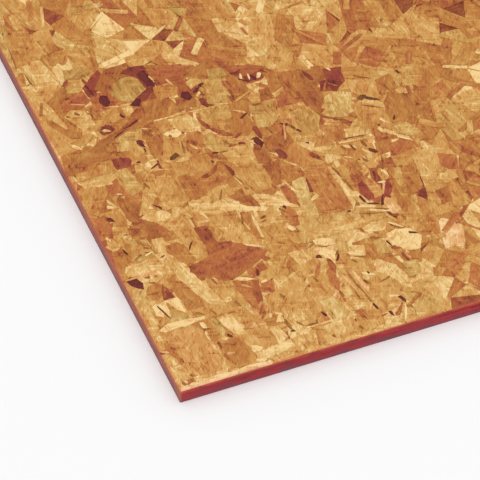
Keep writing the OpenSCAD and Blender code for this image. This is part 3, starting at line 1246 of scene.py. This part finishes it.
def build_sheet(materials):
    """All the blocks of the sheet."""
    rng = random.Random(STRAND_SEED)
    top_strands = strewn_strands(rng, TOP_LAYERS) + hand_laid_strands(rng)
    under_strands = strewn_strands(rng, UNDER_LAYERS)
    xs = [HALF_WIDTH * (2 * i / BLOCKS_ACROSS - 1) for i in range(BLOCKS_ACROSS + 1)]
    ys = [HALF_LENGTH * (2 * i / BLOCKS_ALONG - 1) for i in range(BLOCKS_ALONG + 1)]
    for row in range(BLOCKS_ALONG):
        for column in range(BLOCKS_ACROSS):
            at_side = (row == 0, column == BLOCKS_ACROSS - 1, row == BLOCKS_ALONG - 1, column == 0)
            sealed = {side for side, reached in zip(SIDES, at_side) if reached}
            box = (xs[column], ys[row], xs[column + 1], ys[row + 1])
            name = f"board_block_{row + 1}_{column + 1}"
            piece = block_piece(name, box, sealed, top_strands, under_strands, materials)
            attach(piece, "root")
            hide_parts("osb_sheet")


# --- Materials ------------------------------------------------------------------------------------
def linear(value):
    """The light that a 0 to 255 value stands for, from 0 to 1."""
    value /= 255
    return value / 12.92 if value <= 0.04045 else ((value + 0.055) / 1.055) ** 2.4


def srgb(r, g, b):
    """A colour from its 0 to 255 values."""
    return (linear(r), linear(g), linear(b), 1.0)


# Wood colours by tone, for plain, olive and rosy strands.
WARM = (
    (0.00, srgb(88, 34, 26)),
    (0.10, srgb(134, 58, 38)),
    (0.24, srgb(174, 98, 48)),
    (0.40, srgb(195, 127, 60)),
    (0.54, srgb(209, 151, 78)),
    (0.66, srgb(219, 164, 90)),
    (0.82, srgb(232, 187, 118)),
    (1.00, srgb(250, 214, 148)),
)
OLIVE = (
    (0.00, srgb(74, 44, 20)),
    (0.22, srgb(148, 94, 42)),
    (0.40, srgb(182, 130, 62)),
    (0.60, srgb(206, 160, 86)),
    (0.80, srgb(226, 187, 116)),
    (1.00, srgb(242, 212, 148)),
)
ROSY = (
    (0.00, srgb(98, 34, 36)),
    (0.14, srgb(152, 66, 48)),
    (0.30, srgb(186, 100, 58)),
    (0.55, srgb(214, 142, 80)),
    (0.80, srgb(236, 178, 118)),
    (1.00, srgb(252, 212, 164)),
)
PAINTED_STEP_SHADE = srgb(104, 56, 28)  # painted shade on the walls between strands
BLEED = srgb(204, 108, 76)  # sealer that has crept onto the face
BLEED_REACH = 0.0022
SEALER = (
    (0.20, srgb(112, 34, 36)),
    (0.45, srgb(150, 38, 42)),
    (0.65, srgb(168, 44, 48)),
    (0.90, srgb(184, 66, 62)),
)
LONG_SIDE_PAINTED_LIGHT = srgb(162, 112, 84)  # painted light: the two long sides are paler and browner, standing in for how light falls on them
# painted shade at the foot of the sawn edges
PAINTED_FOOT_SHADE = srgb(120, 70, 80)
BARE_ARRIS = srgb(206, 114, 74)
CORE = srgb(190, 140, 84)
WOOD_SHINE = 0.25
FINE_RELIEF = 0.0003
FINES = ((1.35, 1.0), (0.35, 0.85), (2.3, 1.5), (1.9, 2.1))  # turn and size of each layer of fines
FINES_STRETCH = (100.0, 460.0, 100.0)
FINES_WANDER = (0.0022, 0.0022, 0.0)


def new_material(name):
    """A material with nodes, its node tree and its shader."""
    material = bpy.data.materials.new(name)
    material.use_nodes = True
    tree = material.node_tree
    return material, tree, tree.nodes["Principled BSDF"]


def node(tree, kind, inputs=(), **settings):
    """A node with its settings, and its inputs set to values or linked to sockets."""
    made = tree.nodes.new(kind)
    for key, value in settings.items():
        setattr(made, key, value)
    for key, value in dict(inputs).items():
        if isinstance(value, bpy.types.NodeSocket):
            tree.links.new(value, made.inputs[key])
        else:
            made.inputs[key].default_value = value
    return made


def maths(tree, operation, a, b=0.0, clamp=False):
    """One step of arithmetic."""
    made = node(tree, "ShaderNodeMath", {0: a, 1: b}, operation=operation, use_clamp=clamp)
    return made.outputs[0]


def plus(tree, base, part, share, clamp=False):
    """The base with a share of a part added."""
    return maths(tree, "ADD", base, maths(tree, "MULTIPLY", part, share), clamp)


def vector_maths(tree, operation, a, b):
    """One step of arithmetic on places. SCALE takes a number as b."""
    second = "Scale" if operation == "SCALE" else 1
    return node(tree, "ShaderNodeVectorMath", {0: a, second: b}, operation=operation).outputs[0]


def faded(tree, value, low, high, at_low, at_high):
    """A value that runs from at_low to at_high while the given one runs from low to high."""
    inputs = {"Value": value, "From Min": low, "From Max": high, "To Min": at_low, "To Max": at_high}
    return node(tree, "ShaderNodeMapRange", inputs).outputs[0]


def mixed(tree, factor, a, b):
    """Two colours mixed."""
    return node(tree, "ShaderNodeMix", {0: factor, 6: a, 7: b}, data_type="RGBA").outputs[2]


def ramp(tree, factor, stops):
    """A colour from a ramp of places and colours."""
    made = node(tree, "ShaderNodeValToRGB", {0: factor})
    elements = made.color_ramp.elements
    while len(elements) < len(stops):
        elements.new(0.5)
    for element, (place, colour) in zip(elements, stops):
        element.position, element.color = place, colour
    return made.outputs[0]


def new_group(name, inputs, outputs):
    """A shader node group with named inputs and outputs."""
    group = bpy.data.node_groups.new(name, "ShaderNodeTree")
    for label, kind, value in inputs:
        socket = group.interface.new_socket(label, in_out="INPUT", socket_type=kind)
        if value is not None:
            socket.default_value = value
    for label in outputs:
        group.interface.new_socket(label, in_out="OUTPUT", socket_type="NodeSocketFloat")
    return group, group.nodes.new("NodeGroupInput"), group.nodes.new("NodeGroupOutput")


def noise_at(tree, place, scale, detail=3.0, roughness=0.55, warp=0.0):
    """Noise in stretched coordinates, spread about 0."""
    placed = node(tree, "ShaderNodeMapping", {"Vector": place, "Scale": scale}).outputs[0]
    inputs = {"Vector": placed, "Scale": 1.0, "Detail": detail, "Roughness": roughness}
    inputs["Distortion"] = warp
    return maths(tree, "SUBTRACT", node(tree, "ShaderNodeTexNoise", inputs).outputs[0], 0.5)


def grain_group():
    """Wood grain from places along and across a strand in millimetres."""
    group, inputs, outputs = new_group(
        "strand_grain", (("Grain", "NodeSocketVector", None),), ("Streak", "Fibre", "Patch")
    )
    grain = inputs.outputs["Grain"]
    for label, scale, detail, roughness, warp in (
        ("Streak", (1 / 45, 1 / 2.6, 1.0), 3.0, 0.55, 0.3),
        ("Fibre", (1 / 9, 1 / 0.5, 1.0), 3.0, 0.6, 0.2),
        ("Patch", (1 / 16, 1 / 9, 1.0), 4.0, 0.6, 0.6),
    ):
        group.links.new(noise_at(group, grain, scale, detail, roughness, warp), outputs.inputs[label])
    return group


def fines_group():
    """Small slivers and crumbs pressed in among the strands: how they shift the tone, and their
    relief."""
    group, inputs, outputs = new_group(
        "pressed_fines",
        (
            ("Place", "NodeSocketVector", None),
            ("Turn", "NodeSocketFloat", 0.0),
            ("Size", "NodeSocketFloat", 1.0),
        ),
        ("Tone", "Relief"),
    )
    place = inputs.outputs["Place"]
    wander = node(group, "ShaderNodeTexNoise", {"Vector": place, "Scale": 200.0, "Detail": 3.0})
    moved = vector_maths(group, "SUBTRACT", wander.outputs["Color"], (0.5, 0.5, 0.5))
    moved = vector_maths(group, "MULTIPLY", moved, FINES_WANDER)
    moved = vector_maths(group, "ADD", place, moved)
    turned_place = node(
        group,
        "ShaderNodeVectorRotate",
        {"Vector": moved, "Angle": inputs.outputs["Turn"]},
        rotation_type="Z_AXIS",
    ).outputs[0]
    sized = vector_maths(group, "SCALE", turned_place, inputs.outputs["Size"])
    stretched = node(group, "ShaderNodeMapping", {"Vector": sized, "Scale": FINES_STRETCH}).outputs[0]
    cells = node(
        group,
        "ShaderNodeTexVoronoi",
        {"Vector": stretched, "Scale": 1.0, "Randomness": 1.0},
        voronoi_dimensions="2D",
        distance="MANHATTAN",
    )
    picked = node(group, "ShaderNodeSeparateColor", {0: cells.outputs["Color"]}).outputs
    shown = maths(group, "GREATER_THAN", picked[0], 0.5)
    shape = faded(group, cells.outputs["Distance"], 0.50, 0.42, 0.0, 1.0)
    shape = maths(group, "MULTIPLY", shown, shape)
    shift = maths(group, "SUBTRACT", picked[1], 0.5)
    group.links.new(maths(group, "MULTIPLY", shape, shift), outputs.inputs["Tone"])
    group.links.new(shape, outputs.inputs["Relief"])
    return group


def nearness(tree, place, reach, ragged):
    """How near a place on the sheet is to its sawn sides: 1 at a side, 0 from reach metres in."""
    parts = node(tree, "ShaderNodeSeparateXYZ", {0: place}).outputs
    offs = []
    for part, half in ((parts[0], HALF_WIDTH * MM), (parts[1], HALF_LENGTH * MM)):
        offs.append(maths(tree, "SUBTRACT", half, maths(tree, "ABSOLUTE", part)))
    off = plus(tree, maths(tree, "MINIMUM", *offs), ragged, reach)
    return faded(tree, off, 0.0, reach, 1.0, 0.0)


def wooden_surface(tree, shader, colour, rough, height, strength):
    """Joins colour, roughness and fine relief to a shader."""
    tree.links.new(colour, shader.inputs["Base Color"])
    tree.links.new(rough, shader.inputs["Roughness"])
    relief = {"Height": height, "Strength": strength, "Distance": FINE_RELIEF}
    bump = node(tree, "ShaderNodeBump", relief)
    tree.links.new(bump.outputs[0], shader.inputs["Normal"])
    shader.inputs["Specular IOR Level"].default_value = WOOD_SHINE


def face_material(grain, fines):
    """Pressed strands: each has its own tone, streaked along its grain."""
    material, tree, shader = new_material("pressed_strands")
    strand_look = node(tree, "ShaderNodeAttribute", attribute_name="strand").outputs["Vector"]
    strand_tone, strand_hue, wall = node(tree, "ShaderNodeSeparateXYZ", {0: strand_look}).outputs
    grain_place = node(tree, "ShaderNodeAttribute", attribute_name="grain").outputs["Vector"]
    place = node(tree, "ShaderNodeTexCoord").outputs["Object"]
    wood = node(tree, "ShaderNodeGroup", node_tree=grain)
    tree.links.new(grain_place, wood.inputs["Grain"])
    streak, fibre, patch = wood.outputs
    stain = noise_at(tree, place, (70.0, 55.0, 70.0), 5.0, 0.62, 0.8)

    change = maths(tree, "MULTIPLY", stain, 0.6)
    for part, share in ((streak, 0.55), (fibre, 0.55), (patch, 0.6)):
        change = plus(tree, change, part, share)
    relief = 0.0
    for turn, size in FINES:
        made = node(tree, "ShaderNodeGroup", node_tree=fines)
        tree.links.new(place, made.inputs["Place"])
        made.inputs["Turn"].default_value, made.inputs["Size"].default_value = turn, size
        change = plus(tree, change, made.outputs["Tone"], 0.42)
        relief = maths(tree, "ADD", made.outputs["Relief"], relief)
    # dark strands vary less
    calm = plus(tree, 0.12, strand_tone, 1.25, clamp=True)
    tone = plus(tree, strand_tone, change, calm)

    hue = plus(tree, strand_hue, noise_at(tree, grain_place, (1 / 30, 1 / 10, 1.0)), 1.3)
    olive = maths(tree, "MAXIMUM", hue, 0.0, clamp=True)
    rosy = maths(tree, "MULTIPLY", hue, -1.0, clamp=True)
    colour = mixed(tree, olive, ramp(tree, tone, WARM), ramp(tree, tone, OLIVE))
    colour = mixed(tree, rosy, colour, ramp(tree, tone, ROSY))
    # painted shade: the walls between strands are mixed halfway towards a dark brown
    colour = mixed(tree, maths(tree, "MULTIPLY", wall, 0.5), colour, PAINTED_STEP_SHADE)
    bleed = nearness(tree, place, BLEED_REACH, maths(tree, "MULTIPLY", stain, 2.6))
    colour = mixed(tree, maths(tree, "MULTIPLY", bleed, 0.6), colour, BLEED)
    height = plus(tree, plus(tree, fibre, streak, 0.7), relief, 0.25)
    wooden_surface(tree, shader, colour, plus(tree, 0.58, fibre, 0.8), height, 0.6)
    return material


def sealed_material():
    """Red sealer over the sawn strand ends: paler on the long sides as painted light, darker towards
    the foot as painted shade, and worn through at the arris."""
    material, tree, shader = new_material("edge_sealer")
    place = node(tree, "ShaderNodeTexCoord").outputs["Object"]
    cloud = noise_at(tree, place, (60.0, 60.0, 200.0), 4.0, 0.6)
    speck = noise_at(tree, place, (500.0, 500.0, 900.0), 3.0, 0.6)
    line = noise_at(tree, place, (25.0, 25.0, 700.0), 3.0, 0.6)
    tone = 0.5
    for part, share in ((cloud, 1.1), (line, 0.55), (speck, 0.7)):
        tone = plus(tree, tone, part, share)
    colour = ramp(tree, tone, SEALER)
    across, _, height = node(tree, "ShaderNodeSeparateXYZ", {0: place}).outputs
    across = maths(tree, "ABSOLUTE", across)
    # painted light: the long sides are mixed halfway towards a paler, browner colour
    long_side = faded(tree, across, (HALF_WIDTH - 1.5) * MM, (HALF_WIDTH - 0.5) * MM, 0.0, 0.5)
    colour = mixed(tree, long_side, colour, LONG_SIDE_PAINTED_LIGHT)
    # painted shade: the sealer darkens towards the foot of the sawn edge, over its lowest few
    # millimetres
    low = plus(tree, height, cloud, 0.012)
    colour = mixed(tree, faded(tree, low, 0.0004, 0.0060, 0.8, 0.0), colour, PAINTED_FOOT_SHADE)
    high = plus(tree, plus(tree, height, cloud, 0.005), speck, 0.003)
    bare = faded(tree, high, (THICKNESS - 2.2) * MM, (THICKNESS - 0.2) * MM, 0.0, 0.4)
    colour = mixed(tree, bare, colour, BARE_ARRIS)
    wooden_surface(tree, shader, colour, plus(tree, 0.55, speck, 0.8), speck, 0.7)
    return material


def core_material():
    """The hidden cut faces between blocks."""
    material, _, shader = new_material("board_core")
    shader.inputs["Base Color"].default_value = CORE
    shader.inputs["Roughness"].default_value = 0.7
    return material


# --- Stage ----------------------------------------------------------------------------------------
FLOOR_REACH = 45.0
FLOOR_WHITE = (0.97, 0.97, 0.97, 1.0)
SKY_STRENGTH = 0.70
KEY_STRENGTH = 1.10
KEY_SOFTNESS = math.radians(26)
KEY_FROM = (-0.38, -0.68, 1.30)
CAMERA_AZIMUTH, CAMERA_ELEVATION = math.radians(-21.8), math.radians(48.8)
CAMERA_DISTANCE = 10.0
VIEW_WIDTH = 0.307  # how much of the sheet is seen across the picture
AIM_RIGHT, AIM_UP = 0.0383, 0.0973  # from the sheet's near left corner to the picture's middle


def floor_piece():
    """A wide pale floor, which fills the frame in low views too."""
    shape = bmesh.new()
    bmesh.ops.create_grid(shape, x_segments=1, y_segments=1, size=FLOOR_REACH)
    mesh = bpy.data.meshes.new("floor")
    shape.to_mesh(mesh)
    shape.free()
    floor = bpy.data.objects.new("floor", mesh)
    bpy.context.collection.objects.link(floor)
    material, _, shader = new_material("floor_white")
    shader.inputs["Base Color"].default_value = FLOOR_WHITE
    shader.inputs["Roughness"].default_value = 0.9
    mesh.materials.append(material)


def light_the_scene():
    """White surroundings, and one soft lamp that lights the whole sheet evenly from the front left."""
    world = bpy.data.worlds.new("studio")
    bpy.context.scene.world = world
    world.use_nodes = True
    background = world.node_tree.nodes["Background"]
    background.inputs["Color"].default_value = (1, 1, 1, 1)
    background.inputs["Strength"].default_value = SKY_STRENGTH
    light = bpy.data.lights.new("key", "SUN")
    light.energy, light.angle = KEY_STRENGTH, KEY_SOFTNESS
    lamp = bpy.data.objects.new("key", light)
    bpy.context.collection.objects.link(lamp)
    lamp.rotation_euler = Vector(KEY_FROM).to_track_quat("Z", "Y").to_euler()
    bpy.context.scene.view_settings.view_transform = "Standard"


def add_camera():
    """Looks down on the near left corner of the sheet from far off, with a long lens."""
    level = math.cos(CAMERA_ELEVATION)
    right = Vector((math.cos(CAMERA_AZIMUTH), math.sin(CAMERA_AZIMUTH), 0))
    back = Vector((right.y * level, -right.x * level, math.sin(CAMERA_ELEVATION)))
    up = back.cross(right)
    corner = Vector((SHEET_LOW[0], SHEET_LOW[1], SHEET_HIGH[2]))
    target = corner + right * AIM_RIGHT + up * AIM_UP
    camera = bpy.data.cameras.new("camera")
    camera.lens = camera.sensor_width * CAMERA_DISTANCE / VIEW_WIDTH
    eye = bpy.data.objects.new("camera", camera)
    bpy.context.collection.objects.link(eye)
    eye.location = target + back * CAMERA_DISTANCE
    eye.rotation_euler = back.to_track_quat("Z", "Y").to_euler()
    bpy.context.scene.camera = eye


build_sheet((face_material(grain_group(), fines_group()), sealed_material(), core_material()))
floor_piece()
light_the_scene()
add_camera()
